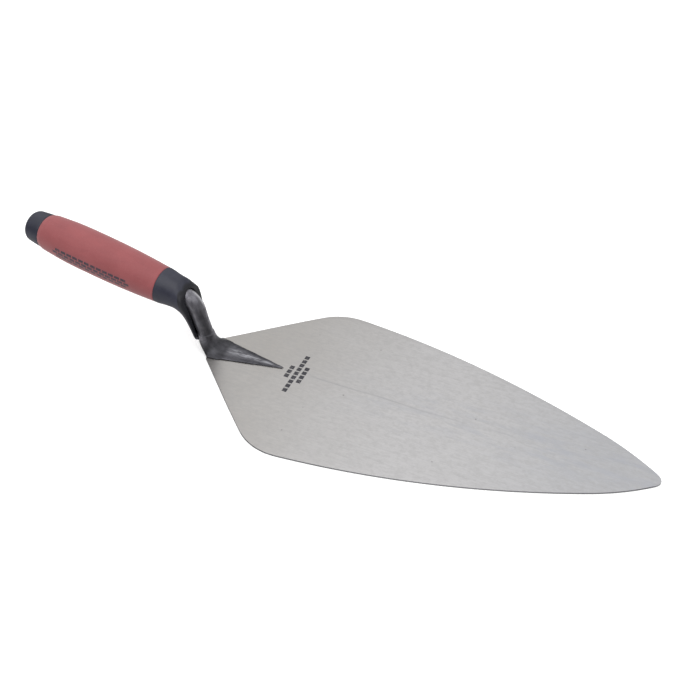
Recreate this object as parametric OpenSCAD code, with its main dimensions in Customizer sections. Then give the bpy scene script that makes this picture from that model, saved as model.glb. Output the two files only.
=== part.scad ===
// Long-pattern brick trowel with a gooseneck shank and a soft barrel handle.
// +X runs from the heel to the toe, +Z is up, and Y = 0 is the plane of symmetry.
// The origin is on the flat underside of the blade, on its centreline, a little inside the heel edge.

/* [Blade] */
// Length from the heel edge to the toe, mm
blade_length = 330; // [300:1:340]
// Width across the shoulders, mm
blade_width = 156; // [146:1:164]
// Width of the heel edge between its corners, mm
heel_width = 26; // [22:1:30]
// Angle between each heel side and the centreline, degrees
heel_angle = 42; // [38:1:46]
// Radius of each rounded shoulder, mm
shoulder_radius = 42; // [30:1:55]
// Radius of the long bowed sides, mm
side_radius = 660; // [600:10:760]
// Angle at which the sides leave the shoulders, degrees
side_start_angle = 5.5; // [4.5:0.1:6.5]
// Distance along the blade at which the toe curve starts, mm
toe_start = 290; // [270:1:300]
// Radius of the toe tip, mm
toe_radius = 6; // [4:0.5:8]
// Thickness on the centreline at the heel, mm
heel_thickness = 2; // [1.8:0.1:2.6]
// Thickness on the centreline at the toe, mm
toe_thickness = 1.1; // [1:0.1:1.6]
// Fall of the top face from the centreline to the shoulder, mm
face_fall = 0.6; // [0.3:0.1:0.8]

/* [Shank] */
// Length of the tapered foot on the blade, mm
foot_length = 60; // [50:1:70]
// Width of the foot at the heel, mm
foot_width = 24; // [20:1:25]
// Height of the foot's crest above the blade underside at the heel, mm
foot_height = 4.5; // [4:0.1:6]
// Radius of the neck where it leaves the handle, mm
neck_top_radius = 6.3; // [6:0.1:6.5]
// Radius of the neck above the foot, mm
neck_low_radius = 5.8; // [5:0.1:6]
// Radius of the bend between the neck and the tang, mm
bend_radius = 14.5; // [13.5:0.1:15]
// Forward lean of the neck from upright, degrees
neck_lean = 12.5; // [11:0.5:14]
// Radius of the tang inside the handle, mm
tang_radius = 4.2; // [3.5:0.1:4.6]
// Length of the tang behind the front of the grip, mm
tang_length = 72; // [50:1:85]

/* [Handle] */
// Fall of the handle towards the blade, degrees
handle_tilt = 12.5; // [8:0.5:16]
// Height of the front of the grip above the blade underside, mm
grip_front_height = 51; // [48.8:0.1:53.8]
// Distance from the front of the grip back to the heel edge, mm
grip_setback = 37.6; // [36.2:0.1:39.2]
// Length of the soft grip, mm
grip_length = 102; // [95:0.1:110]
// Radius of the grip at its front end, mm
grip_front_radius = 14; // [13.5:0.1:14.5]
// Largest radius of the grip, mm
grip_radius = 16.1; // [15.6:0.1:17]
// Distance from the front of the grip to its thickest point, mm
grip_belly = 62; // [50:1:65]
// Radius of the grip at its back end, before the bevel, mm
grip_back_radius = 14.4; // [14:0.1:14.8]
// Radius of the hard core under the grip, mm
core_radius = 10; // [9:0.1:11]
// Radius of the butt cap, mm
butt_radius = 13.5; // [13:0.1:13.7]
// Length of the butt cap that shows, mm
butt_length = 13.7; // [9:0.1:14]

/* [Finger guard] */
// Distance from the front of the grip to the shank's bend, mm
guard_length = 25.7; // [25.2:0.1:26.5]
// Radius of the guard's waist, mm
guard_waist_radius = 12.5; // [12:0.1:13]
// Radius of the tongue about the neck, mm
tongue_radius = 10; // [9.8:0.1:10.4]
// Radius of the channel the neck lies in, mm
channel_radius = 7.2; // [7.1:0.1:7.4]
// Distance the tongue reaches down the neck from the handle axis, mm
tongue_reach = 37; // [33:0.1:38]

/* [Hidden] */
// Distance from the origin back to the heel edge.
heel_setback = 12;
// Radial gap of a moulded joint and of the bonded tang.
joint_gap = 0.05;
// Thickness of the slices a lofted shape is stretched between.
slice = 0.02;
// Extra reach of a cutting tool past the surface it cuts.
over = 1;
// Size of a tool that has to clear the whole part.
clear = 400;
round_facets = 96;
loft_facets = 40;

// Points on an arc; an angle of 0 is the +Y side and 90 is towards the toe.
function arc(centre, radius, from_angle, to_angle, steps) =
    [for (i = [0 : steps])
        let (a = from_angle + (to_angle - from_angle) * i / steps)
        centre + radius * [sin(a), cos(a)]];

function normal_at(a) = [sin(a), cos(a)];

function mirrored(points) =
    [for (i = [len(points) - 1 : -1 : 0]) [points[i][0], -points[i][1]]];

// Right half of the blade outline, from the heel corner to the toe.
function blade_half() =
    let (
        half = blade_width / 2,
        run = (half - heel_width / 2 - shoulder_radius * (1 - cos(heel_angle))) / sin(heel_angle),
        shoulder = [run * cos(heel_angle) + shoulder_radius * sin(heel_angle), half - shoulder_radius],
        side = shoulder - (side_radius - shoulder_radius) * normal_at(side_start_angle),
        side_end_angle = asin((toe_start - side[0]) / side_radius),
        side_end = side + side_radius * normal_at(side_end_angle),
        tip = [blade_length - toe_radius, 0],
        gap = side_end - tip,
        toe_bow = (gap * gap - toe_radius * toe_radius)
            / (2 * (gap * normal_at(side_end_angle) - toe_radius)),
        toe = side_end - toe_bow * normal_at(side_end_angle),
        tip_angle = atan2(tip[0] - toe[0], tip[1] - toe[1])
    )
    concat(
        [[0, heel_width / 2]],
        arc(shoulder, shoulder_radius, -heel_angle, side_start_angle, 14),
        [for (p = arc(side, side_radius, side_start_angle, side_end_angle, 16))
            if (p[0] > shoulder[0] + 8) p],
        [for (p = arc(toe, toe_bow, side_end_angle, tip_angle, 6)) if (p[0] > toe_start + over) p],
        [for (p = arc(tip, toe_radius, tip_angle, 90, 6)) if (p[0] < blade_length - slice) p]
    );

blade_taper_angle = atan((heel_thickness - toe_thickness) / blade_length);
face_angle = atan(face_fall / (blade_width / 2));

// Foot: a short parallel heel, then a taper to a narrow tip.
foot_heel_length = 2;
foot_tip_width = 1.2;
foot_taper_angle = atan((foot_height - heel_thickness) / (foot_length - foot_heel_length));
foot_face_angle = 7;

// Neck and tang. Each straight bar runs a little way into the bend and is slightly thinner there.
neck_taper_length = 18;
neck_end = 31;
bar_entry = 1.5;
bar_step = 0.15;
tang_swell_start = 6.2;
tang_point_length = 6;
bend_angle = 90 - handle_tilt - neck_lean;
bend_reach = bend_radius * tan(bend_angle / 2);
bend_start = guard_length - bend_reach;

// Handle: a spigot on the core's front end holds the guard, a plug in its back end holds the cap.
core_length = grip_length;
spigot_radius = 8;
spigot_length = 4;
plug_radius = 6;
plug_length = 14;
butt_edge_radius = 3.6;
butt_taper = 1.2;
grip_bevel = 3;
bevel_radius = butt_radius + 0.2;

// Guard stations: [forward of the grip, below the handle axis, turn from the axis].
guard_shoulder_radius = (grip_front_radius + guard_waist_radius) / 2 + 0.1;
guard_shoulder = 7.2;
guard_waist = [14.2, 0, 0];
guard_crown = [20.2, 0.8, 18];
guard_turn = [25.2, 3.6, 40];
// Tongue stations, down the neck from the handle axis.
tongue_root = 11;
tongue_waist = 18;
tongue_tip_radius = 6.4;

// Places something measured from the heel edge.
module from_heel() {
    translate([-heel_setback, 0, 0])
        children();
}

// Places something measured along the handle: +X forward along its axis, 0 at the front of the grip.
module along_handle() {
    from_heel()
        translate([-grip_setback, 0, grip_front_height])
            rotate([0, handle_tilt, 0])
                children();
}

// Places something measured down the neck: +Z down its axis, +X to its front, 0 on the handle axis.
module down_neck() {
    along_handle()
        translate([guard_length, 0, 0])
            rotate([0, 90 + bend_angle, 0])
                rotate([0, 0, 180])
                    children();
}

// Round bar on the handle axis from one station to another.
module bar(from_x, to_x, from_r, to_r) {
    translate([from_x, 0, 0])
        rotate([0, 90, 0])
            cylinder(h = to_x - from_x, r1 = from_r, r2 = to_r, $fn = round_facets);
}

// Round bar, or the tool that bores one, of a single radius on the handle axis.
module bore(from_x, to_x, radius) {
    bar(from_x, to_x, radius, radius);
}

// Solid turned about the handle axis from [radius, distance back] points.
module turned(points) {
    rotate([0, -90, 0])
        rotate_extrude($fn = round_facets)
            polygon(points);
}

// Everything above a roof of two faces that meet on the centreline.
module above_roof(height, taper, fall) {
    reach = clear / 2;
    translate([0, 0, height])
        rotate([0, taper, 0])
            translate([-reach, 0, 0])
                rotate([90, 0, 90])
                    linear_extrude(height = clear * 1.5)
                        polygon([
                            [-reach, -reach * tan(fall)],
                            [0, 0],
                            [reach, -reach * tan(fall)],
                            [reach, clear / 4],
                            [-reach, clear / 4]
                        ]);
}

module blade_body() {
    difference() {
        linear_extrude(height = heel_thickness + over)
            polygon(concat(blade_half(), [[blade_length, 0]], mirrored(blade_half())));
        above_roof(heel_thickness, blade_taper_angle, face_angle);
    }
}

module foot_wedge() {
    difference() {
        linear_extrude(height = foot_height + over)
            polygon([
                [0, -foot_width / 2],
                [foot_heel_length, -foot_width / 2],
                [foot_length, -foot_tip_width / 2],
                [foot_length, foot_tip_width / 2],
                [foot_heel_length, foot_width / 2],
                [0, foot_width / 2]
            ]);
        above_roof(foot_height, foot_taper_angle, foot_face_angle);
    }
}

// Closed solid through a list of rings that all have the same number of points.
module loft(rings) {
    n = len(rings[0]);
    last = len(rings) - 1;
    polyhedron(
        points = [for (ring = rings) each ring],
        faces = concat(
            [[for (i = [n - 1 : -1 : 0]) i]],
            [[for (i = [0 : n - 1]) last * n + i]],
            [for (k = [0 : last - 1], i = [0 : n - 1])
                [k * n + (i + 1) % n, (k + 1) * n + i, k * n + i]],
            [for (k = [0 : last - 1], i = [0 : n - 1])
                [k * n + (i + 1) % n, (k + 1) * n + (i + 1) % n, (k + 1) * n + i]]
        )
    );
}

function signed_power(value, power) = sign(value) * pow(abs(value), power);

// Oval ring from a back point to a front point, both [x, z]; below 1, roundness squares its corners.
function oval_ring(back, front, half_width, roundness) =
    let (middle = (back + front) / 2, reach = (front - back) / 2)
    [for (i = [0 : loft_facets - 1])
        let (
            a = 360 * (i + 0.5) / loft_facets,
            p = middle + reach * signed_power(cos(a), roundness)
        )
        [p[0], half_width * signed_power(sin(a), roundness), p[1]]];

// Flare that spreads the round neck into the foot, measured from the heel edge.
module flare() {
    loft([
        oval_ring([-11.7, 14], [-0.1, 16.5], neck_low_radius + 0.15, 1),
        oval_ring([-11.5, 10], [1.6, 12], 6.5, 1),
        oval_ring([-10.9, 7.8], [3.4, 8.8], 7.4, 0.95),
        oval_ring([-8.7, 5.4], [5.8, 6.2], 8.8, 0.85),
        oval_ring([-5.0, 3.2], [8.2, 4.6], 10.4, 0.65),
        oval_ring([0.1, 1.3], [9, 1.3], 11.9, 0.4)
    ]);
}

// Bend from the handle axis down to the neck, drawn on the handle axis.
module bend(radius) {
    translate([bend_start, 0, -bend_radius])
        rotate([90, 0, 0])
            rotate([0, 0, 90 - bend_angle])
                rotate_extrude(angle = bend_angle, $fn = round_facets)
                    translate([bend_radius, 0])
                        circle(r = radius, $fn = loft_facets * 2);
}

module neck_and_tang() {
    taper_end = bend_reach + neck_taper_length;
    down_neck() {
        translate([0, 0, bend_reach - bar_entry])
            cylinder(
                h = neck_taper_length + bar_entry,
                r1 = neck_top_radius - bar_step,
                r2 = neck_low_radius,
                $fn = round_facets
            );
        translate([0, 0, taper_end])
            cylinder(h = neck_end - taper_end + slice, r = neck_low_radius, $fn = round_facets);
    }
    along_handle() {
        bend(neck_top_radius);
        bar(tang_swell_start, bend_start + bar_entry, tang_radius, neck_top_radius - bar_step);
        bar(-tang_length + tang_point_length, tang_swell_start, tang_radius, tang_radius);
        bar(-tang_length, -tang_length + tang_point_length, tang_radius / 2, tang_radius);
    }
}

// Slice across the finger guard at one of its stations.
module guard_slice(station, radius) {
    translate([station[0], 0, -station[1]])
        rotate([0, 90 + station[2], 0])
            cylinder(h = slice, r = radius, $fn = loft_facets);
}

// Slice across the tongue, square to the neck.
module tongue_slice(drop, radius) {
    guard_slice([guard_length + drop * cos(bend_angle), drop * sin(bend_angle), bend_angle], radius);
}

// Outside of the finger guard before the shank's way out is cut.
module guard_outside() {
    root_radius = guard_waist_radius - 0.9;
    low_radius = tongue_radius + 0.5;
    bar(0, guard_shoulder, grip_front_radius, guard_shoulder_radius);
    bar(guard_shoulder, guard_waist[0], guard_shoulder_radius, guard_waist_radius);
    hull() {
        guard_slice(guard_waist, guard_waist_radius);
        guard_slice(guard_crown, guard_waist_radius);
    }
    hull() {
        guard_slice(guard_crown, guard_waist_radius);
        guard_slice(guard_turn, guard_waist_radius);
    }
    hull() {
        guard_slice(guard_turn, guard_waist_radius);
        tongue_slice(tongue_root, root_radius);
    }
    hull() {
        tongue_slice(tongue_root, root_radius);
        tongue_slice(tongue_waist, low_radius);
    }
    hull() {
        tongue_slice(tongue_waist, low_radius);
        tongue_slice(tongue_reach + over, tongue_radius - 0.2);
    }
}

// Everything in front of the guard's rim, from the side, measured down the neck.
module guard_front() {
    rotate([90, 0, 0])
        linear_extrude(height = clear / 4, center = true)
            polygon([
                [-2.6, -20],
                [-2, -13],
                [-1, -8],
                [-1.4, -2],
                [-1.8, 4],
                [-2.4, 10],
                [-2.9, 18],
                [-3.4, 30],
                [-3.6, 50],
                [50, 50],
                [50, -20]
            ]);
}

// Outline of the tongue seen from the front, measured down the neck: a round tip.
module tongue_outline() {
    straight = tongue_reach - tongue_tip_radius;
    rotate([90, 0, 90])
        linear_extrude(height = clear / 4, center = true) {
            translate([-clear / 8, -clear / 8])
                square([clear / 4, clear / 8 + straight]);
            translate([0, straight])
                circle(r = tongue_tip_radius, $fn = round_facets);
        }
}

module blade() {
    color("silver")
        from_heel()
            blade_body();
}

module shank() {
    color("dimgray")
        union() {
            neck_and_tang();
            difference() {
                from_heel() {
                    flare();
                    foot_wedge();
                }
                from_heel()
                    blade_body();
            }
        }
}

module handle_core() {
    color("darkslategray")
        along_handle()
            difference() {
                union() {
                    bore(-core_length, 0, core_radius);
                    bore(-over, spigot_length, spigot_radius);
                }
                bore(-tang_length - over, spigot_length + over, tang_radius + joint_gap);
                bore(-core_length - over, -core_length + plug_length + over, plug_radius + joint_gap);
            }
}

module finger_guard() {
    color("darkslategray")
        difference() {
            intersection() {
                along_handle()
                    guard_outside();
                down_neck()
                    tongue_outline();
            }
            along_handle() {
                bore(-over, clear / 8, spigot_radius + joint_gap);
                translate([bend_start, 0, 0])
                    rotate([0, bend_angle / 2, 0])
                        bore(0, 2 * bend_reach, channel_radius);
            }
            down_neck() {
                guard_front();
                cylinder(h = clear / 8, r = channel_radius, $fn = round_facets);
            }
        }
}

module grip_sleeve() {
    steps = 10;
    rear = grip_length - grip_bevel;
    front_side = [for (i = [0 : steps])
        let (s = grip_belly * i / steps, k = 1 - s / grip_belly)
        [grip_radius - (grip_radius - grip_front_radius) * k * k, s]];
    back_side = [for (i = [1 : steps])
        let (k = i / steps)
        [grip_radius - (grip_radius - grip_back_radius) * k * k, grip_belly + (rear - grip_belly) * k]];
    color("indianred")
        along_handle()
            turned(concat(
                [[core_radius + joint_gap, 0]],
                front_side,
                back_side,
                [[bevel_radius, grip_length], [core_radius + joint_gap, grip_length]]
            ));
}

module butt_cap() {
    back = grip_length + butt_length;
    flank = butt_radius - butt_taper;
    edge = [for (a = [0 : 15 : 90])
        [flank - butt_edge_radius * (1 - cos(a)), back - butt_edge_radius * (1 - sin(a))]];
    color("darkslategray")
        along_handle()
            turned(concat(
                [
                    [0, grip_length - plug_length],
                    [plug_radius, grip_length - plug_length],
                    [plug_radius, grip_length],
                    [butt_radius, grip_length]
                ],
                edge,
                [[0, back]]
            ));
}

blade();
shank();
handle_core();
finger_guard();
grip_sleeve();
butt_cap();
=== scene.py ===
import math

import bmesh
import bpy
import numpy as np
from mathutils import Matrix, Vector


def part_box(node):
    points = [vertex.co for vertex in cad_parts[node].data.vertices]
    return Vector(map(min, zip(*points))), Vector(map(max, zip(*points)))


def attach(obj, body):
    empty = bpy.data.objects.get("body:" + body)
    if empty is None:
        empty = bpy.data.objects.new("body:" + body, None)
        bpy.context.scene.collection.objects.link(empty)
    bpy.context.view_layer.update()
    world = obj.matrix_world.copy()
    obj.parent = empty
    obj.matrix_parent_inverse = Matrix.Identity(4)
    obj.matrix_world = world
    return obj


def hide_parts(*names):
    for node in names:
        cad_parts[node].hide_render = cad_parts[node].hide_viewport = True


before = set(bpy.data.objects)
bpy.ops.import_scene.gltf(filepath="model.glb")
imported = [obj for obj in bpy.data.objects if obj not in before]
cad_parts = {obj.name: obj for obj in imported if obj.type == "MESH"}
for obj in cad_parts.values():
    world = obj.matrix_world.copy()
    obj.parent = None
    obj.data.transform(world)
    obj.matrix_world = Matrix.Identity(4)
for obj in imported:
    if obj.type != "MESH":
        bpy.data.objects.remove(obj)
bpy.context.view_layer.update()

import openvdb
from mathutils import Vector

# ---------------------------------------------------------------- units and frame
# Shapes are worked out in millimetres, in the frame of the CAD model, and stored in metres.
MM = 0.001


def points_of(item):
    """Vertices of an object, in millimetres."""
    flat = np.empty(len(item.data.vertices) * 3)
    item.data.vertices.foreach_get("co", flat)
    return flat.reshape(-1, 3) / MM


def node_points(node):
    """Vertices of a CAD node, in millimetres."""
    return points_of(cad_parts[node])


def node_box(node):
    """Lowest and highest corner of a CAD node, in millimetres."""
    return [np.array(corner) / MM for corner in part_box(node)]


def handle_axis():
    """Forward direction of the handle and the point on its axis at the front of the grip."""
    core = node_points("handle_core")
    centre = (core.min(0) + core.max(0)) / 2
    _, _, directions = np.linalg.svd(core - core.mean(0), full_matrices=False)
    forward = directions[0] * np.sign(directions[0][0])
    forward[1] = 0
    forward /= np.linalg.norm(forward)
    centre[1] = 0
    reach = (node_points("grip_sleeve") @ forward).max()
    return forward, centre + forward * (reach - centre @ forward)


FORWARD, GRIP_FRONT = handle_axis()
UPWARD = np.array([-FORWARD[2], 0, FORWARD[0]])


def reach_back(node):
    """Distance from the front of the grip to the back of a node, along the handle axis."""
    return GRIP_FRONT @ FORWARD - (node_points(node) @ FORWARD).min()


CORE_LENGTH = reach_back("grip_sleeve")
BUTT_LENGTH = reach_back("butt_cap") - CORE_LENGTH

(HEEL_X, _, _), (TOE_X, HALF_WIDTH, HEEL_THICKNESS) = node_box("blade")
BLADE_LENGTH = TOE_X - HEEL_X
TOE_THICKNESS = 1.1
# How much lower the top face is at the widest point of the blade than on its centreline.
FACE_FALL = 0.6
BLADE_TAPER = (HEEL_THICKNESS - TOE_THICKNESS) / BLADE_LENGTH
FACE_SLOPE = FACE_FALL / HALF_WIDTH
FOOT_LENGTH = 60

# The shank's centreline: the tang on the handle axis, a bend, then the neck, which leans from upright.
# The axes of the handle and the neck cross at the elbow, ahead of the grip.
ELBOW = 25.7
BEND_RADIUS = 14.5
NECK_LEAN = math.radians(12.5)
BEND_ANGLE = math.pi / 2 - NECK_LEAN - math.asin(-FORWARD[2])
BEND_REACH = BEND_RADIUS * math.tan(BEND_ANGLE / 2)
BEND_START = ELBOW - BEND_REACH
BEND_LENGTH = BEND_RADIUS * BEND_ANGLE
TANG_LENGTH = 72


def blade_top(x, y):
    """Height of the blade's top face."""
    return HEEL_THICKNESS - (x - HEEL_X) * BLADE_TAPER - np.abs(y) * FACE_SLOPE


def handle_coordinates(x, z):
    """Distance forward of the grip's front end and height above the handle axis."""
    dx, dz = x - GRIP_FRONT[0], z - GRIP_FRONT[2]
    return dx * FORWARD[0] + dz * FORWARD[2], dx * UPWARD[0] + dz * UPWARD[2]


def neck_coordinates(u, h):
    """Distance down the neck from the handle axis and distance in front of the neck's axis."""
    down = (u - ELBOW) * math.cos(BEND_ANGLE) - h * math.sin(BEND_ANGLE)
    front = (u - ELBOW) * math.sin(BEND_ANGLE) + h * math.cos(BEND_ANGLE)
    return down, front


# ---------------------------------------------------------------- fields and meshes
def smooth_min(a, b, blend):
    """Union of two fields with a fillet."""
    k = np.clip(0.5 + 0.5 * (b - a) / blend, 0, 1)
    return b + (a - b) * k - blend * k * (1 - k)


def smooth_max(a, b, blend):
    """Intersection of two fields with a rounded edge."""
    return -smooth_min(-a, -b, blend)


def ramp(value, start, end):
    """0 up to the start, 1 past the end and a straight line between. The end may be below the start."""
    return np.clip((value - start) / (end - start), 0, 1)


def through(value, stations, levels):
    """Smooth curve through the given levels at the given stations."""
    stations, levels = np.array(stations, float), np.array(levels, float)
    slopes = np.gradient(levels, stations)
    value = np.clip(value, stations[0], stations[-1])
    k = np.clip(np.searchsorted(stations, value, side="right") - 1, 0, len(stations) - 2)
    span = stations[k + 1] - stations[k]
    t = (value - stations[k]) / span
    rise = levels[k + 1] - levels[k]
    return (
        levels[k]
        + t * span * slopes[k]
        + t**2 * (3 * rise - span * (2 * slopes[k] + slopes[k + 1]))
        + t**3 * (span * (slopes[k] + slopes[k + 1]) - 2 * rise)
    )


RIPPLE_WAVES = 9


def ripple(x, y, z, wavelength, seed):
    """Smooth irregular field, mostly between -1 and 1: the unevenness a hammer or a mould leaves."""
    draw = np.random.default_rng(seed)
    total = 0
    for _ in range(RIPPLE_WAVES):
        direction = draw.normal(size=3)
        length = wavelength * draw.uniform(0.7, 1.5)
        direction *= 2 * math.pi / (length * np.linalg.norm(direction))
        phase = draw.uniform(0, 2 * math.pi)
        total = total + np.sin(x * direction[0] + y * direction[1] + z * direction[2] + phase)
    return total / math.sqrt(RIPPLE_WAVES)


def new_piece(name, points, faces, node, material):
    """Adds a mesh piece, given in millimetres, that stands for a CAD node."""
    mesh = bpy.data.meshes.new(name)
    mesh.from_pydata((np.asarray(points) * MM).tolist(), [], [list(map(int, f)) for f in faces])
    builder = bmesh.new()
    builder.from_mesh(mesh)
    bmesh.ops.recalc_face_normals(builder, faces=builder.faces)
    builder.to_mesh(mesh)
    builder.free()
    mesh.shade_smooth()
    mesh.materials.append(material)
    piece = bpy.data.objects.new(name, mesh)
    bpy.context.scene.collection.objects.link(piece)
    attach(piece, "root")
    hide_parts(node)
    return piece


def surface_of(field, low, high, step):
    """Points and quads of the surface where field(x, y, z) is zero inside a box, in millimetres."""
    axes = [np.arange(start, end + step, step) for start, end in zip(low, high)]
    x, y, z = np.meshgrid(*axes, indexing="ij", sparse=True)
    values = np.ascontiguousarray(field(x, y, z), dtype=np.float32)
    grid = openvdb.FloatGrid(float(values.max()))
    grid.copyFromArray(values)
    points, quads = grid.convertToQuads(0.0)
    return points * step + np.array(low), quads


def set_attribute(piece, name, values):
    """Stores one number, or one vector, per vertex for a material to read."""
    values = np.ascontiguousarray(values, dtype=np.float32)
    kind, field = ("FLOAT", "value") if values.ndim == 1 else ("FLOAT_VECTOR", "vector")
    piece.data.attributes.new(name, kind, "POINT").data.foreach_set(field, values.ravel())


def map_range(tree, value, low, high, to_low, to_high, curve="LINEAR"):
    """Adds a node to a tree that maps a value from one range to another, and holds it there."""
    node = tree.nodes.new("ShaderNodeMapRange")
    node.interpolation_type = curve
    numbers = {"From Min": low, "From Max": high, "To Min": to_low, "To Max": to_high}
    for name, number in numbers.items():
        node.inputs[name].default_value = number
    tree.links.new(value, node.inputs["Value"])
    return node.outputs[0]


class Nodes:
    """Short names for building a node material."""

    def __init__(self, name):
        self.material = bpy.data.materials.new(name)
        self.material.use_nodes = True
        self.tree = self.material.node_tree
        self.tree.nodes.clear()
        output = self.tree.nodes.new("ShaderNodeOutputMaterial")
        self.shader = self.tree.nodes.new("ShaderNodeBsdfPrincipled")
        self.tree.links.new(self.shader.outputs[0], output.inputs["Surface"])
        self.place = self.tree.nodes.new("ShaderNodeTexCoord").outputs["Object"]

    def put(self, socket, value):
        """Links a socket to an input, or sets the input. A colour of three numbers gets an alpha of 1."""
        if isinstance(value, bpy.types.NodeSocket):
            self.tree.links.new(value, socket)
        elif isinstance(value, tuple):
            socket.default_value = (*value, 1)
        elif value is not None:
            socket.default_value = value

    def stretch(self, x, y, z, source=None):
        """Coordinates scaled along each axis."""
        node = self.tree.nodes.new("ShaderNodeMapping")
        self.put(node.inputs["Vector"], source or self.place)
        node.inputs["Scale"].default_value = (x, y, z)
        return node.outputs[0]

    def noise(self, scale, detail=4.0, roughness=0.5, vector=None, distortion=0.0):
        """Cloudy pattern between 0 and 1."""
        node = self.tree.nodes.new("ShaderNodeTexNoise")
        self.put(node.inputs["Vector"], vector or self.place)
        node.inputs["Scale"].default_value = scale
        node.inputs["Detail"].default_value = detail
        node.inputs["Roughness"].default_value = roughness
        node.inputs["Distortion"].default_value = distortion
        return node.outputs["Fac"]

    def cells(self, scale):
        """Distance to the nearest of many scattered points."""
        node = self.tree.nodes.new("ShaderNodeTexVoronoi")
        self.put(node.inputs["Vector"], self.place)
        node.inputs["Scale"].default_value = scale
        return node.outputs["Distance"]

    def math(self, operation, a, b=None):
        """Result of an operation on one or two values."""
        node = self.tree.nodes.new("ShaderNodeMath")
        node.operation = operation
        for socket, value in zip(node.inputs, (a, b)):
            self.put(socket, value)
        return node.outputs[0]

    def times(self, first, *others):
        """Product of all the values."""
        for other in others:
            first = self.math("MULTIPLY", first, other)
        return first

    def near(self, value, centre, reach):
        """1 where the value is less than reach away from the centre, 0 elsewhere."""
        return self.math("LESS_THAN", self.math("ABSOLUTE", self.math("SUBTRACT", value, centre)), reach)

    def fit(self, value, low, high, to_low=0.0, to_high=1.0):
        """Value mapped smoothly from one range to another, and held there."""
        return map_range(self.tree, value, low, high, to_low, to_high, "SMOOTHSTEP")

    def mix(self, amount, a, b):
        """Colour b over colour a."""
        node = self.tree.nodes.new("ShaderNodeMix")
        node.data_type = "RGBA"
        sockets = [s for s in node.inputs if s.enabled]
        self.put(sockets[0], amount)
        for socket, value in zip(sockets[1:], (a, b)):
            self.put(socket, value)
        return [s for s in node.outputs if s.enabled][0]

    def attribute(self, name, output="Fac"):
        """Value that a mesh stores at its vertices."""
        node = self.tree.nodes.new("ShaderNodeAttribute")
        node.attribute_name = name
        return node.outputs[output]

    def axes(self):
        """The three coordinates of a point, in metres."""
        node = self.tree.nodes.new("ShaderNodeSeparateXYZ")
        self.put(node.inputs[0], self.place)
        return node.outputs

    def bump(self, height, depth, normal=None):
        """Bump of the given depth in metres."""
        node = self.tree.nodes.new("ShaderNodeBump")
        node.inputs["Strength"].default_value = 1.0
        node.inputs["Distance"].default_value = depth
        self.put(node.inputs["Height"], height)
        self.put(node.inputs["Normal"], normal)
        return node.outputs[0]

    def finish(self, **inputs):
        """Sets the shader's inputs, named with underscores for spaces, and returns the material."""
        for name, value in inputs.items():
            self.put(self.shader.inputs[name.replace("_", " ")], value)
        return self.material


# ---------------------------------------------------------------- materials
# Rows of small bricks, in metres: three stamped across the blade beyond the tip of the foot, and three
# printed along the near side of the grip. A row is (offset across the rows, number of bricks). A centre and
# a brick are given along and across the rows.
STAMP_ROWS = [(-0.0058, 3), (0.0, 9), (0.0054, 4)]
STAMP_CENTRE = (-0.0012, (HEEL_X + FOOT_LENGTH + 11.2) * MM)
STAMP_PITCH = 0.0047
STAMP_BRICK = (0.0037, 0.0036)
PRINT_ROWS = [(-0.0028, 12), (0.0, 13), (0.0028, 12)]
PRINT_CENTRE = (0.0528, 0.0)
PRINT_PITCH = 0.0052
PRINT_BRICK = (0.0043, 0.0022)


def bricks(n, along, across, rows, centre, pitch, brick):
    """Mask of rows of small bricks, from two coordinates in metres along and across the rows."""
    total = 0.0
    for offset, count in rows:
        half = count * pitch / 2
        place = n.math("SUBTRACT", along, centre[0] - half)
        cell = n.math("FRACT", n.math("DIVIDE", place, pitch))
        in_row = n.near(across, centre[1] + offset, brick[1] / 2)
        in_length = n.near(along, centre[0], half)
        in_brick = n.near(cell, 0.5, brick[0] / pitch / 2)
        total = n.math("MAXIMUM", total, n.times(in_row, in_length, in_brick))
    return total


# A height in metres that is between the underside and the top face everywhere on the blade.
BETWEEN_FACES = 0.0008


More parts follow.
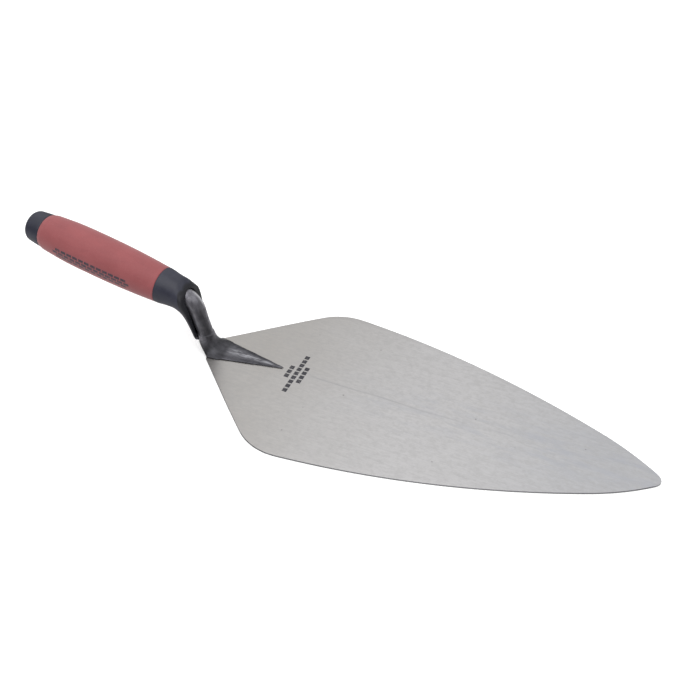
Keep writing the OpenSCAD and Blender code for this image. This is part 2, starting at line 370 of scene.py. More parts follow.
def ground_steel():
    """Satin steel, ground along the blade: warm near the heel, cool at the toe, with painted shade that
    makes the heel and the toe darker than mid-blade.
    """
    n = Nodes("ground_steel")
    x, y, z = n.axes()
    on_top = n.math("GREATER_THAN", z, BETWEEN_FACES)
    # Painted shade: the heel and the toe colours are darker than mid-blade.
    heel, middle, toe = (0.387, 0.370, 0.351), (0.494, 0.486, 0.489), (0.424, 0.426, 0.441)
    colour = n.mix(n.fit(x, 0.0, 0.17), heel, middle)
    colour = n.mix(n.fit(x, 0.17, 0.30), colour, toe)
    # Pale clouds, darker mottling and the fine grain of the grinding.
    cloud = n.noise(14, 5, 0.6)
    colour = n.mix(n.fit(cloud, 0.35, 0.75, 0.0, 0.30), colour, (0.50, 0.495, 0.50))
    mottle = n.noise(1.0, 5, 0.75, n.stretch(260, 420, 420))
    colour = n.mix(n.fit(mottle, 0.40, 0.66, 0.0, 0.38), colour, (0.35, 0.343, 0.34))
    grain = n.noise(1.0, 6, 0.7, n.stretch(90, 1300, 1300))
    colour = n.mix(n.fit(grain, 0.35, 0.7, 0.0, 0.22), colour, (0.35, 0.35, 0.355))
    # Cool streaks along the middle of the toe.
    streak = n.noise(1.0, 6, 0.7, n.stretch(22, 110, 10))
    toe_middle = n.times(n.fit(x, 0.02, 0.30), n.fit(n.math("ABSOLUTE", y), 0.0, 0.036, 1.0, 0.0))
    cool = n.times(n.fit(streak, 0.44, 0.66), toe_middle, 0.85)
    colour = n.mix(cool, colour, (0.385, 0.393, 0.425))
    # Painted shade: a slightly wandering dark line where the two ground faces meet, from the foot's tip to
    # mid-blade, for the change of light between the faces.
    wander = n.times(n.math("SUBTRACT", n.noise(9, 2, 0.5), 0.5), 0.006)
    ridge = n.fit(n.math("ABSOLUTE", n.math("ADD", y, wander)), 0.0, 0.0012, 1.0, 0.0)
    ridge = n.times(ridge, n.fit(x, 0.068, 0.075), n.fit(x, 0.12, 0.24, 1.0, 0.0), on_top)
    colour = n.mix(n.times(ridge, 0.42), colour, (0.29, 0.29, 0.30))
    specks = n.times(n.fit(n.cells(85), 0.03, 0.08, 1.0, 0.0), n.fit(n.noise(30, 2), 0.46, 0.56))
    colour = n.mix(n.times(specks, 0.62), colour, (0.19, 0.18, 0.18))
    stamp = bricks(n, y, x, STAMP_ROWS, STAMP_CENTRE, STAMP_PITCH, STAMP_BRICK)
    stamp = n.times(stamp, on_top, n.fit(n.noise(900, 3, 0.7), 0.30, 0.46, 0.55, 1.0))
    colour = n.mix(n.times(stamp, 0.96), colour, (0.018, 0.018, 0.026))
    # Painted shade on the thin side wall of the blade.
    colour = n.mix(n.times(n.attribute("edge"), 0.8), colour, (0.13, 0.13, 0.14))
    rough = n.math("ADD", n.fit(grain, 0.3, 0.7, 0.36, 0.48), n.times(stamp, 0.2))
    scratches = n.noise(1.0, 3, 0.5, n.stretch(25, 500, 500))
    height = n.math("ADD", n.times(grain, 0.5), n.times(scratches, 0.3))
    height = n.math("ADD", height, n.times(mottle, 0.6))
    normal = n.bump(height, 0.000022)
    normal = n.bump(n.noise(26, 2, 0.4), 0.00022, normal)
    return n.finish(
        Base_Color=colour,
        Metallic=n.math("SUBTRACT", 1.0, n.times(stamp, 0.7)),
        Roughness=rough,
        Normal=normal,
    )


def forged_steel():
    """Dark forge scale with drawn streaks, rubbed pale along the crest of the foot, with painted shade on
    the flanks, the front of the neck and the heel, and a painted highlight on the bend.
    """
    n = Nodes("forged_steel")
    # The flow coordinate runs along the bar and then along the foot.
    flow = n.attribute("flow", "Vector")
    blotch = n.noise(260, 6, 0.62, distortion=0.4)
    fine = n.noise(1100, 4, 0.6)
    drawn = n.noise(1.0, 5, 0.6, n.stretch(50, 380, 380, flow))
    patch = n.noise(1.0, 4, 0.55, n.stretch(38, 210, 210, flow))
    colour = n.mix(n.fit(blotch, 0.34, 0.68), (0.134, 0.131, 0.149), (0.225, 0.220, 0.246))
    colour = n.mix(n.fit(drawn, 0.42, 0.70, 0.0, 0.55), colour, (0.19, 0.188, 0.202))
    colour = n.mix(n.fit(patch, 0.50, 0.72, 0.0, 0.6), colour, (0.030, 0.030, 0.034))
    colour = n.mix(n.fit(fine, 0.52, 0.78, 0.0, 0.3), colour, (0.03, 0.03, 0.034))
    colour = n.mix(n.times(n.attribute("foot"), 0.60), colour, (0.05, 0.05, 0.058))
    # Pale streaks on the crest, painted shade on the flanks, down the front of the neck and around the
    # heel, and a painted highlight along the bend.
    streak = n.noise(1.0, 5, 0.62, n.stretch(95, 620, 200), 0.5)
    pale = n.times(n.attribute("rubbed"), n.fit(streak, 0.44, 0.62), 0.7)
    colour = n.mix(pale, colour, (0.44, 0.44, 0.47))
    # Painted shade on the flanks of the foot, in patches.
    patchy = n.fit(n.noise(1.0, 5, 0.65, n.stretch(70, 420, 300)), 0.36, 0.58, 0.85, 0.35)
    colour = n.mix(n.times(n.attribute("flank"), patchy), colour, (0.026, 0.026, 0.031))
    # Painted shade down the front of the neck and around the heel of the foot.
    colour = n.mix(n.times(n.attribute("front"), 0.68), colour, (0.026, 0.026, 0.030))
    # Painted highlight along the far side of the bend.
    colour = n.mix(n.times(n.attribute("glint"), 0.9), colour, (0.70, 0.70, 0.73))
    normal = n.bump(blotch, 0.00008)
    normal = n.bump(drawn, 0.00007, normal)
    normal = n.bump(fine, 0.00002, normal)
    rough = n.fit(blotch, 0.3, 0.7, 0.50, 0.38)
    return n.finish(Base_Color=colour, Metallic=0.75, Roughness=rough, Normal=normal)


def guard_plastic():
    """Blue-grey charcoal plastic with a satin mould finish, slight scuffs and painted shade on the guard's
    rim and in its channel.
    """
    n = Nodes("guard_plastic")
    mottle = n.noise(70, 4, 0.6)
    colour = n.mix(n.fit(mottle, 0.35, 0.7), (0.017, 0.018, 0.032), (0.034, 0.036, 0.056))
    scuff = n.fit(n.noise(1.0, 4, 0.65, n.stretch(120, 600, 600)), 0.58, 0.75)
    colour = n.mix(n.times(scuff, 0.22), colour, (0.085, 0.088, 0.10))
    # Painted shade on the guard's rim and in the channel round the shank.
    colour = n.mix(n.times(n.attribute("rim"), 0.85), colour, (0.006, 0.006, 0.008))
    rough = n.math("ADD", n.fit(mottle, 0.3, 0.7, 0.44, 0.56), n.times(scuff, 0.12))
    normal = n.bump(n.noise(2600, 3, 0.6), 0.000012)
    normal = n.bump(n.noise(60, 2), 0.00012, normal)
    return n.finish(Base_Color=colour, Roughness=rough, Normal=normal, Specular_IOR_Level=0.42)


def handle_plastic():
    """Hard moulded plastic of the core, nearly black."""
    n = Nodes("handle_plastic")
    mottle = n.noise(90, 4, 0.6)
    colour = n.mix(n.fit(mottle, 0.35, 0.7), (0.035, 0.037, 0.043), (0.06, 0.063, 0.07))
    normal = n.bump(n.noise(1800, 3, 0.6), 0.00002)
    return n.finish(Base_Color=colour, Roughness=n.fit(mottle, 0.3, 0.7, 0.45, 0.6), Normal=normal)


def grip_rubber():
    """Matte dusty-red rubber with a fine grain, pale dust and a worn printed band."""
    n = Nodes("grip_rubber")
    along, around = n.attribute("along"), n.attribute("around")
    cloud = n.noise(45, 5, 0.6)
    colour = n.mix(n.fit(cloud, 0.3, 0.72), (0.256, 0.058, 0.063), (0.300, 0.075, 0.080))
    drawn = n.noise(1.0, 4, 0.6, n.stretch(60, 500, 500))
    colour = n.mix(n.fit(drawn, 0.45, 0.75, 0.0, 0.22), colour, (0.18, 0.045, 0.052))
    dust = n.fit(n.noise(900, 5, 0.75), 0.50, 0.78)
    colour = n.mix(n.times(dust, 0.14), colour, (0.45, 0.24, 0.24))
    ink = bricks(n, along, around, PRINT_ROWS, PRINT_CENTRE, PRINT_PITCH, PRINT_BRICK)
    ink = n.times(ink, n.fit(n.noise(700, 4, 0.7), 0.34, 0.50, 0.5, 1.0))
    colour = n.mix(n.times(ink, 0.96), colour, (0.014, 0.016, 0.032))
    rough = n.math("ADD", n.fit(cloud, 0.3, 0.7, 0.60, 0.70), n.times(dust, 0.08))
    height = n.math("ADD", n.noise(1700, 3, 0.7), n.times(ink, -0.3))
    normal = n.bump(height, 0.000035)
    normal = n.bump(n.noise(70, 2), 0.00016, normal)
    return n.finish(
        Base_Color=colour,
        Roughness=rough,
        Normal=normal,
        Specular_IOR_Level=0.45,
        Sheen_Weight=0.35,
        Sheen_Roughness=0.45,
        Sheen_Tint=(1.0, 0.80, 0.80),
    )


# ---------------------------------------------------------------- blade
SIDE_STATIONS = 170
FACE_COLUMNS = 28
# Rounded edge of the blade: (inset from the outline, height above the underside), then (inset, depth below
# the top face).
LOWER_EDGE = [(0.30, 0.0), (0.09, 0.08), (0.0, 0.30)]
UPPER_EDGE = [(0.0, 0.30), (0.07, 0.12), (0.20, 0.03), (0.45, 0.0)]


def blade_outline():
    """Far half of the blade's outline: evenly spaced x, y pairs from the heel corner to the toe's tip."""
    points = node_points("blade")
    rim = points[(points[:, 2] < 0.01) & (points[:, 1] > -0.01)]
    rim = np.unique(np.round(rim[:, :2], 3), axis=0)
    rim = rim[(rim[:, 1] > 1.0) | (rim[:, 0] > HEEL_X + BLADE_LENGTH / 2)]
    rim = rim[np.lexsort((-rim[:, 1], rim[:, 0]))]
    run = np.concatenate([[0], np.cumsum(np.linalg.norm(np.diff(rim, axis=0), axis=1))])
    even = np.linspace(0, run[-1], SIDE_STATIONS)
    return np.stack([through(even, run, rim[:, 0]), through(even, run, rim[:, 1])], axis=1)


def inset_outline(outline, inset):
    """The half outline moved inwards, square to itself; its heel corner stays on the heel line."""
    along = np.gradient(outline, axis=0)
    along /= np.linalg.norm(along, axis=1)[:, None]
    inwards = np.stack([along[:, 1], -along[:, 0]], axis=1)
    moved = outline + inwards * inset
    moved[0] = [outline[0, 0] + inset, outline[0, 1] - inset * (1 - along[0, 1]) / along[0, 0]]
    moved[:, 1] = np.maximum(moved[:, 1], 0)
    moved[-1] = [outline[-1, 0] - inset, 0]
    moved[:, 0] = np.clip(moved[:, 0], HEEL_X + inset, moved[-1, 0])
    return moved


def blade():
    """Flat blade: two ground faces that meet on a faint centre ridge, with softened edges all round."""
    outline = blade_outline()
    toe = SIDE_STATIONS - 1
    spread = np.linspace(-1, 1, FACE_COLUMNS + 1)

    def loop(inset):
        """Closed loop: along the near side to the toe, back along the far side, across the heel."""
        side = inset_outline(outline, inset)
        heel_y = spread[1:-1][::-1] * side[0, 1]
        heel = np.stack([np.full(len(heel_y), side[0, 0]), heel_y], axis=1)
        return np.concatenate([side * [1, -1], side[-2::-1], heel])

    rings = []
    for inset, height in LOWER_EDGE:
        ring = loop(inset)
        rings.append(np.column_stack([ring, np.full(len(ring), height)]))
    for inset, depth in UPPER_EDGE:
        ring = loop(inset)
        rings.append(np.column_stack([ring, blade_top(ring[:, 0], ring[:, 1]) - depth]))
    count = len(rings[0])
    faces = []
    for start in range(0, (len(rings) - 1) * count, count):
        for i in range(count):
            j = (i + 1) % count
            faces.append((start + i, start + j, start + count + j, start + count + i))
    points = list(np.concatenate(rings))

    def fill(start, height_at):
        """Grid of faces across the loop that begins at a point, from the near side to the far side."""

        def point_index(station, column):
            """Index of a grid point: one of the loop's own, or a new one inside it."""
            if column == 0:
                return start + station
            if column == FACE_COLUMNS:
                return start + 2 * toe - station
            if station == 0:
                return start + 2 * toe + FACE_COLUMNS - column
            x, near_y, _ = points[start + station]
            y = -near_y * spread[column]
            points.append(np.array([x, y, height_at(x, y)]))
            return len(points) - 1

        rows = [[point_index(k, column) for column in range(FACE_COLUMNS + 1)] for k in range(toe)]
        for a, b in zip(rows, rows[1:]):
            faces.extend((a[c], a[c + 1], b[c + 1], b[c]) for c in range(FACE_COLUMNS))
        faces.extend((rows[-1][c], rows[-1][c + 1], start + toe) for c in range(FACE_COLUMNS))

    fill(0, lambda x, y: 0.0)
    fill((len(rings) - 1) * count, blade_top)
    piece = new_piece("blade_body", points, faces, "blade", ground_steel())
    x, y, z = points_of(piece).T
    # The mask of the thin wall round the blade, between its two faces, which the material darkens as
    # painted shade.
    half = np.interp(x, outline[:, 0], outline[:, 1])
    wall = (np.abs(y) > half - 0.25) & (z > 0.05) & (z < blade_top(x, y) - 0.01)
    set_attribute(piece, "edge", wall.astype(float))


# ---------------------------------------------------------------- shank
FOOT_HALF_WIDTH = 12.2
FOOT_TIP_HALF_WIDTH = 0.7
FOOT_WALL = 0.8
FLARE_TOP = 15.5
FLARE_FILLET = 1.6
NECK_FILLET = 2.5
NECK_RADIUS = 6.1
# The streaks of the scale turn from the neck to the foot between these heights, and this is the place along
# the centreline where those of the foot start.
FOOT_TOP = 6
NECK_BOTTOM = 13
HEEL_PLACE = 44
# The painted shade on the neck faces this way: forward and to the far side.
SHADE_FORWARD = 0.92
SHADE_ASIDE = 0.39
# The painted highlight on the bend: its turn about the centreline from the top to the far side, and its
# width, in radians.
GLINT_TURN = 0.42
GLINT_WIDTH = 0.22
SHANK_MARGIN = 1.2
SHANK_STEP = 0.42


def spine(u, h):
    """Distance from the shank's centreline in its own plane, place along it and side.

    The place is counted from the start of the bend. The side is +1 above and in front of the centreline.
    """
    du, dh = u - BEND_START, h + BEND_RADIUS
    angle = np.arctan2(du, dh)
    turned = np.clip(angle, 0, BEND_ANGLE)
    arc = np.hypot(du - BEND_RADIUS * np.sin(turned), dh - BEND_RADIUS * np.cos(turned))
    tang = np.hypot(u - np.clip(u, -TANG_LENGTH, BEND_START), h)
    down, front = neck_coordinates(u, h)
    neck = np.hypot(down - np.maximum(down, BEND_REACH), front)
    distance = np.minimum(np.minimum(arc, tang), neck)
    on_neck = (neck <= arc) & (neck <= tang)
    on_tang = (tang < arc) & ~on_neck
    place = np.where(on_tang, du, BEND_RADIUS * turned)
    place = np.where(on_neck, BEND_LENGTH + down - BEND_REACH, place)
    side = np.where(on_tang, np.sign(h), np.sign(np.hypot(du, dh) - BEND_RADIUS))
    side = np.where(on_neck, np.sign(front), side)
    return distance, place, side


def shank_radius(place):
    """Radius of the round bar by the place along it: the tang's end, the bend, then the neck."""
    return through(
        place,
        [-90, -82, -16, -8, 0, 10, 18, 24, 30, 36, 42, 50],
        [3.0, 4.2, 4.2, 5.5, 6.25, 6.6, 6.45, 6.1, 6.0, 5.8, 5.95, 6.6],
    )


def flare_field(x, y, z):
    """Oval flare that carries the neck down to the heel of the blade."""
    back = through(z, [1, 3, 5, 8, 11, 15], [-1.0, -4.7, -8.0, -10.8, -11.6, -11.8]) + HEEL_X
    front = through(z, [1, 3, 5, 8, 11, 15], [14, 10.5, 7.2, 4.0, 1.9, 0.2]) + HEEL_X
    half = through(z, [1, 2, 3, 5, 8, 11, 15], [12.2, 11.9, 10.9, 9.0, 7.4, 6.5, 5.9])
    square = through(z, [1, 5, 9, 15], [5.0, 2.8, 2.2, 2.0])
    middle, reach = (back + front) / 2, (front - back) / 2
    across = (np.abs(x - middle) / reach) ** square + (np.abs(y) / half) ** square
    oval = (across ** (1 / square) - 1) * np.minimum(reach, half)
    return np.maximum(oval, z - FLARE_TOP)


def foot_field(x, y, z):
    """Tapered foot on the blade: a low dome with sloped flanks and a thin wall at its edge."""
    run = x - HEEL_X
    narrowing = (FOOT_HALF_WIDTH - FOOT_TIP_HALF_WIDTH) * (run - 2) / (FOOT_LENGTH - 2)
    half = np.maximum(FOOT_HALF_WIDTH - narrowing, 0.3)
    crest = through(run, [0, 10, 25, 45, FOOT_LENGTH], [4.4, 4.2, 3.75, 2.9, 2.1])
    spread = np.clip(np.abs(y) / half, 0, 1.2)
    edge = blade_top(x, y) + FOOT_WALL
    top = crest - (crest - edge) * (0.35 * spread + 0.65 * spread**4)
    ends = np.abs(run - FOOT_LENGTH / 2) - FOOT_LENGTH / 2
    return smooth_max(smooth_max((z - top) * 0.95, np.abs(y) - half, 0.4), ends, 0.4)


def shank_field(x, y, z):
    """The whole forging: tang, bend, neck, flare and foot, trimmed to the blade's top face."""
    u, h = handle_coordinates(x, z)
    distance, place, _ = spine(u, h)
    round_bar = np.hypot(distance, y) - shank_radius(place)
    base = smooth_min(flare_field(x, y, z), foot_field(x, y, z), FLARE_FILLET)
    body = smooth_min(round_bar, base, NECK_FILLET)
    body = body + 0.05 * ripple(x, y, z, 9, 3) + 0.02 * ripple(x, y, z, 3.6, 4)
    under = np.where(x > HEEL_X, blade_top(np.maximum(x, HEEL_X), y), HEEL_THICKNESS)
    return smooth_max(body, under - z + 0.02, 0.35)


def shank():
    """The forging, with masks for its material: foot, crest, painted shade on the flanks, the front of the
    neck and the heel, and a painted highlight on the bend.
    """
    low, high = node_box("shank")
    points, quads = surface_of(shank_field, low - SHANK_MARGIN, high + SHANK_MARGIN, SHANK_STEP)
    piece = new_piece("gooseneck_shank", points, quads, "shank", forged_steel())
    x, y, z = points_of(piece).T
    u, h = handle_coordinates(x, z)
    down, front = neck_coordinates(u, h)
    distance, place, side = spine(u, h)
    run = x - HEEL_X
    half = np.maximum(FOOT_HALF_WIDTH * (1 - run / FOOT_LENGTH), 1)
    on_foot = ramp(z, NECK_BOTTOM, FOOT_TOP)
    set_attribute(piece, "foot", on_foot)
    along = place * (1 - on_foot) + (HEEL_PLACE + run) * on_foot
    across = front * (1 - on_foot) + z * on_foot
    set_attribute(piece, "flow", np.column_stack([along, y, across]) * MM)
    crest = np.exp(-((y / half / 0.36) ** 2)) * ramp(run, 9, 18) * ramp(z, 14, 6)
    set_attribute(piece, "rubbed", crest)
    # Painted shade on the sloped flanks of the foot.
    set_attribute(piece, "flank", ramp(np.abs(y) / half, 0.38, 0.73) * ramp(z, 6.5, 4))
    # Painted shade: a dark band down the far front of the neck, and darkening around the heel of the foot
    # that tones down a highlight there.
    band = (SHADE_FORWARD * front + SHADE_ASIDE * y) / NECK_RADIUS
    band = ramp(band, -0.25, 0.20) * ramp(band, 1.0, 0.65) * ramp(down, 1, 9) * ramp(z, 7, 13)
    heel = ramp(run, 15, 10) * ramp(z, 12, 8)
    set_attribute(piece, "front", np.maximum(band, 0.9 * heel))
    # Painted highlight: a bright line on the far side of the bend where it leaves the guard.
    turn = np.arctan2(y, distance * side)
    glint = np.exp(-(((turn - GLINT_TURN) / GLINT_WIDTH) ** 2))
    glint = glint * ramp(place, 4, 7) * ramp(place, 17, 13)
    set_attribute(piece, "glint", glint)


# ---------------------------------------------------------------- finger guard
TONGUE_REACH = 37
TONGUE_TIP_RADIUS = 6.4
TONGUE_TOP = -4.6
TONGUE_TOP_ROUNDING = 5.0
TONGUE_FILLET = 3.0
CHANNEL_RADIUS = 7.15
SPIGOT_RADIUS = 8.05
SPIGOT_REACH = 11.2
COLLAR_REACH = 35.2
GUARD_MARGIN = 1.5
GUARD_STEP = 0.33


def rim_field(down, front, y):
    """Distance in front of the guard's rim, which sits a little further back at both cheeks."""
    rim = through(
        down,
        [-20, -13, -8, -2, 4, 10, 18, 30, 50],
        [-2.8, -2.2, -1.1, -1.5, -1.5, -1.8, -2.7, -3.4, -3.6],
    )
    return front - rim + 0.06 * smooth_max(np.abs(y) - 8.0, 0, 2.0)


def guard_field(x, y, z):
    """Collar that turns down into a tongue behind the neck, open at the front for the shank."""
    u, h = handle_coordinates(x, z)
    down, front = neck_coordinates(u, h)
    about_handle = np.hypot(h, y)
    collar_radius = through(
        u,
        [0, 3.7, 7.7, 11.7, 15.7, 20.2, 26.2, 31.2],
        [14.0, 13.65, 12.95, 12.5, 12.25, 12.0, 11.5, 11.4],
    )
    crown_fall = through(u, [11.2, 15.2, 19.2, 23.2, 28.2], [0, 0.1, 0.9, 2.8, 6.0])
    crown_fall = crown_fall * ramp(h, 0, 11) ** 2
    collar = np.maximum(about_handle - collar_radius + crown_fall, u - COLLAR_REACH)
    tongue_radius = through(down, [-6, 4, 12, 20, 28, 38], [11.3, 11.6, 11.2, 10.3, 9.9, 9.7])
    set_back = through(down, [-6, 0, 4, 8, 12, 16, 20], [4.1, 3.5, 2.4, 1.0, 0.0, -0.1, 0])
    about_neck = np.hypot(front + set_back, y) - tongue_radius
    past_tip_centre = down - TONGUE_REACH + TONGUE_TIP_RADIUS
    tip = np.hypot(np.maximum(past_tip_centre, 0), y) - TONGUE_TIP_RADIUS
    tongue = np.where(past_tip_centre > 0, smooth_max(about_neck, tip, 0.8), about_neck)
    tongue = smooth_max(tongue, TONGUE_TOP - down, TONGUE_TOP_ROUNDING)
    outside = smooth_min(collar, tongue, TONGUE_FILLET)
    outside = np.maximum(outside, 0.02 - u)
    rim_rounding = 0.55 + 3.8 * ramp(down, -3, -8)
    body = smooth_max(outside, rim_field(down, front, y), rim_rounding)
    distance, _, _ = spine(u, h)
    channel = np.hypot(distance, y) - CHANNEL_RADIUS
    body = smooth_max(body, -channel, 0.4)
    spigot = np.maximum(about_handle - SPIGOT_RADIUS, u - SPIGOT_REACH)
    return np.maximum(body, -spigot) + 0.03 * ripple(x, y, z, 14, 8)


def finger_guard(material):
    """The moulded guard, with a mask for the painted shade on its rim and in its channel."""
    low, high = node_box("finger_guard")
    points, quads = surface_of(guard_field, low - GUARD_MARGIN, high + GUARD_MARGIN, GUARD_STEP)
    piece = new_piece("finger_guard_shell", points, quads, "finger_guard", material)
    x, y, z = points_of(piece).T
    u, h = handle_coordinates(x, z)
    down, front = neck_coordinates(u, h)
    # Painted shade on the rim and in the channel round the shank.
    rim_width = 0.9 + (1.0 + 1.1 * ramp(down, 12, 4)) * ramp(np.abs(y), 5, 10)
    in_rim = ramp(rim_width + rim_field(down, front, y), 0, 0.6)
    distance, _, _ = spine(u, h)
    in_channel = ramp(np.hypot(distance, y) - CHANNEL_RADIUS, 0.5, 0.1)
    set_attribute(piece, "rim", np.maximum(in_rim, in_channel))


# ---------------------------------------------------------------- turned pieces
TURN_STEPS = 192
CORE_RADIUS = 10.05
# Turn of the printed band about the handle axis, from the top towards the near side, and the radius there.
PRINT_ANGLE = math.radians(93)
PRINT_RADIUS = 15.5
# The cap's rounded edge, and how deep the middle of its end face is sunk.
CAP_END_RADIUS = 12.35
CAP_ROUND_LENGTH = 4.2
CAP_ROUND_DEPTH = 3.9
CAP_DIP = 0.25


def turned_piece(name, profile, node, material):
    """Piece turned about the handle axis from a closed profile.

    The profile holds pairs of distance behind the front of the grip and radius.
    """
    angles = np.arange(TURN_STEPS) * 2 * math.pi / TURN_STEPS
    side = np.array([0, 1, 0])
    points, faces, rings = [], [], []
    for back, radius in profile:
        centre = GRIP_FRONT - FORWARD * back
        start = len(points)
        if radius == 0:
            points.append(centre)
            rings.append([start] * TURN_STEPS)
        else:
            points.extend(centre + radius * (math.cos(a) * UPWARD - math.sin(a) * side) for a in angles)
            rings.append(list(range(start, start + TURN_STEPS)))
    for ring, following in zip(rings, rings[1:] + rings[:1]):
        if ring[0] == ring[1] and following[0] == following[1]:
            continue
        for i in range(TURN_STEPS):
            j = (i + 1) % TURN_STEPS
            # A ring on the axis is one point, so its faces are triangles.
            faces.append(list(dict.fromkeys([ring[i], ring[j], following[j], following[i]])))
    return new_piece(name, points, faces, node, material)


def grip_sleeve():
    """Soft barrel grip: thickest past its middle, rolled at the front, bevelled at the back."""
    stations = [0, 5.8, 10.8, 20.8, 30.8, 40.8, 50.8, 60.8, 70.8, 80.8, 90.5, 96.3, 100.6]
    radii = [13.95, 14.35, 14.7, 15.25, 15.7, 15.95, 16.08, 16.1, 16.05, 15.75, 15.05, 14.55, 14.1]
    roll = [(0.0, CORE_RADIUS), (0.0, 13.45), (0.12, 13.75), (0.35, 13.92)]
    body = np.linspace(0.8, 98.6, 150)
    # The bevel at the back end: distance in front of the end face and radius.
    bevel = [(2.9, 14.17), (2.5, 14.06), (2.0, 13.90), (1.2, 13.68), (0.5, 13.46), (0.15, 13.3)]
    bevel += [(0.0, 13.0), (0.0, CORE_RADIUS)]
    profile = roll + list(zip(body, through(body, stations, radii)))
    profile += [(CORE_LENGTH - ahead, radius) for ahead, radius in bevel]
    piece = turned_piece("grip_sleeve_rubber", profile, "grip_sleeve", grip_rubber())
    x, y, z = points_of(piece).T
    u, h = handle_coordinates(x, z)
    set_attribute(piece, "along", -u * MM)
    set_attribute(piece, "around", (np.arctan2(-y, h) - PRINT_ANGLE) * PRINT_RADIUS * MM)


def butt_cap(material):
    """Cap at the end of the handle: plug, tapering side, rounded edge and a nearly flat end face."""
    plug = [(-14, 0), (-14, 5.4), (-13.4, 6), (0, 6), (0, 12.9), (0.15, 13.25)]
    straight = BUTT_LENGTH - CAP_ROUND_LENGTH
    flank = np.linspace(0.5, straight, 14)
    profile = plug + list(zip(flank, through(flank, [0, 4.5, straight], [13.45, 13.0, CAP_END_RADIUS])))
    for angle in np.linspace(0.12, math.pi / 2, 12):
        radius = CAP_END_RADIUS - CAP_ROUND_DEPTH * (1 - math.cos(angle))
        profile.append((straight + CAP_ROUND_LENGTH * math.sin(angle), radius))
    face_radius = CAP_END_RADIUS - CAP_ROUND_DEPTH
    for radius in (7.6, 6.4, 4.5, 2.2, 0):
        profile.append((BUTT_LENGTH - CAP_DIP * (1 - radius / face_radius), radius))
    profile = [(CORE_LENGTH + back, radius) for back, radius in profile]
    turned_piece("butt_cap_shell", profile, "butt_cap", material)


def paint_core():
    """The hidden core is the CAD node itself, in its own material."""
    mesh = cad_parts["handle_core"].data
    mesh.materials.clear()
    mesh.materials.append(handle_plastic())


# ---------------------------------------------------------------- stage, light and camera
FLOOR_SIZE = 24.0
FLOOR_DROP = 0.0002
FLOOR_BOUNCE = (0.68, 0.68, 0.68)
# The floor's own glow, which only the camera sees, near the trowel and far from it.
NEAR_GLOW = 0.19
FAR_GLOW = 0.6
HORIZON_LIGHT = 0.08
SKY_LIGHT = 1.25
NEAR_LIGHT = 0.33


def floor():
    """Plain pale floor just under the blade, which throws back less light than a white sheet would."""
    n = Nodes("pale_floor")
    seen = n.tree.nodes.new("ShaderNodeLightPath").outputs["Is Camera Ray"]
    sheet = n.mix(n.fit(n.noise(3, 2), 0.3, 0.7), (0.96, 0.96, 0.96), (0.98, 0.98, 0.98))
    colour = n.mix(seen, FLOOR_BOUNCE, sheet)
    x, y, _ = n.axes()
    reach_squared = n.math("ADD", n.times(x, x), n.times(y, y))
    glow = n.times(seen, n.fit(reach_squared, 0.5, 4.0, NEAR_GLOW, FAR_GLOW))
    white = (1.0, 1.0, 1.0)
    material = n.finish(Base_Color=colour, Roughness=0.9, Emission_Color=white, Emission_Strength=glow)
    half = FLOOR_SIZE / 2
    corners = [(-half, -half), (half, -half), (half, half), (-half, half)]
    mesh = bpy.data.meshes.new("floor")
    mesh.from_pydata([(*corner, -FLOOR_DROP) for corner in corners], [], [(0, 1, 2, 3)])
    mesh.materials.append(material)
    plane = bpy.data.objects.new("floor", mesh)
    bpy.context.scene.collection.objects.link(plane)


def direction_to(azimuth, elevation):
    """Direction from the trowel, by angles in degrees. Azimuth 0 is the -Y side and 90 is the +X side."""
    a, e = math.radians(azimuth), math.radians(elevation)
    return Vector((math.sin(a) * math.cos(e), -math.cos(a) * math.cos(e), math.sin(e)))


def aim_object(name, data, target, back, distance):
    """Adds a light or camera that looks at a point from a direction and a distance."""
    item = bpy.data.objects.new(name, data)
    item.location = target + back * distance
    item.rotation_mode = "QUATERNION"
    item.rotation_quaternion = (-back).to_track_quat("-Z", "Y")
    bpy.context.scene.collection.objects.link(item)
    return item


KEY_POWER = 13.5
KEY_SIZE = 1.45
KEY_DISTANCE = 1.3
KEY_AZIMUTH = 10
KEY_ELEVATION = 64


def key_light():
    """Large soft light, high on the near side."""
    light = bpy.data.lights.new("key", "AREA")
    light.shape = "SQUARE"
    light.size = KEY_SIZE
    light.energy = KEY_POWER
    aim_object("key", light, Vector((0, 0, 0.03)), direction_to(KEY_AZIMUTH, KEY_ELEVATION), KEY_DISTANCE)


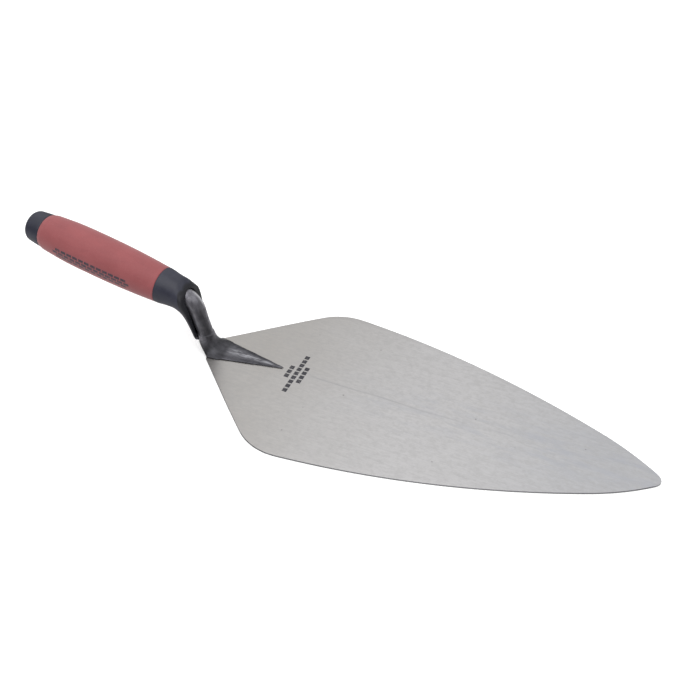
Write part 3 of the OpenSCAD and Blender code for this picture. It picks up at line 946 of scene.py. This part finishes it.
def surroundings():
    """Surroundings that are bright overhead, dim at the horizon and dimmer on the near side."""
    world = bpy.data.worlds.new("studio")
    world.use_nodes = True
    tree = world.node_tree
    background = tree.nodes["Background"]
    split = tree.nodes.new("ShaderNodeSeparateXYZ")
    tree.links.new(tree.nodes.new("ShaderNodeTexCoord").outputs["Generated"], split.inputs[0])
    _, aside, rise = split.outputs
    strength = tree.nodes.new("ShaderNodeMath")
    strength.operation = "MULTIPLY"
    sky = map_range(tree, rise, 0.08, 0.58, HORIZON_LIGHT, SKY_LIGHT, "SMOOTHSTEP")
    tree.links.new(sky, strength.inputs[0])
    tree.links.new(map_range(tree, aside, -0.9, 0.55, NEAR_LIGHT, 1.0), strength.inputs[1])
    # The camera sees a plain pale backdrop where the floor ends.
    seen = tree.nodes.new("ShaderNodeMix")
    tree.links.new(tree.nodes.new("ShaderNodeLightPath").outputs["Is Camera Ray"], seen.inputs["Factor"])
    tree.links.new(strength.outputs[0], seen.inputs["A"])
    seen.inputs["B"].default_value = 1.0
    tree.links.new(seen.outputs["Result"], background.inputs["Strength"])
    background.inputs["Color"].default_value = (1.0, 1.0, 1.0, 1)
    bpy.context.scene.world = world


CAMERA_AZIMUTH = 23.14
CAMERA_ELEVATION = 40.84
CAMERA_DISTANCE = 0.5443
FILM_WIDTH = 36
FOCAL_LENGTH = 36
# Where the camera looks on the floor, from the heel edge and the centreline.
AIM_FROM_HEEL = 0.09667
AIM_ASIDE = 0.0409


def camera():
    """Camera on the near side, above the toe half, looking back across the blade to the handle."""
    lens = bpy.data.cameras.new("camera")
    lens.sensor_width = FILM_WIDTH
    lens.lens = FOCAL_LENGTH
    lens.clip_start = 0.01
    lens.clip_end = 50
    aim = Vector((HEEL_X * MM + AIM_FROM_HEEL, AIM_ASIDE, 0))
    back = direction_to(CAMERA_AZIMUTH, CAMERA_ELEVATION)
    bpy.context.scene.camera = aim_object("camera", lens, aim, back, CAMERA_DISTANCE)


# ---------------------------------------------------------------- the scene
blade()
shank()
moulded = guard_plastic()
finger_guard(moulded)
grip_sleeve()
butt_cap(moulded)
paint_core()
floor()
surroundings()
key_light()
camera()
bpy.context.scene.view_settings.view_transform = "Standard"
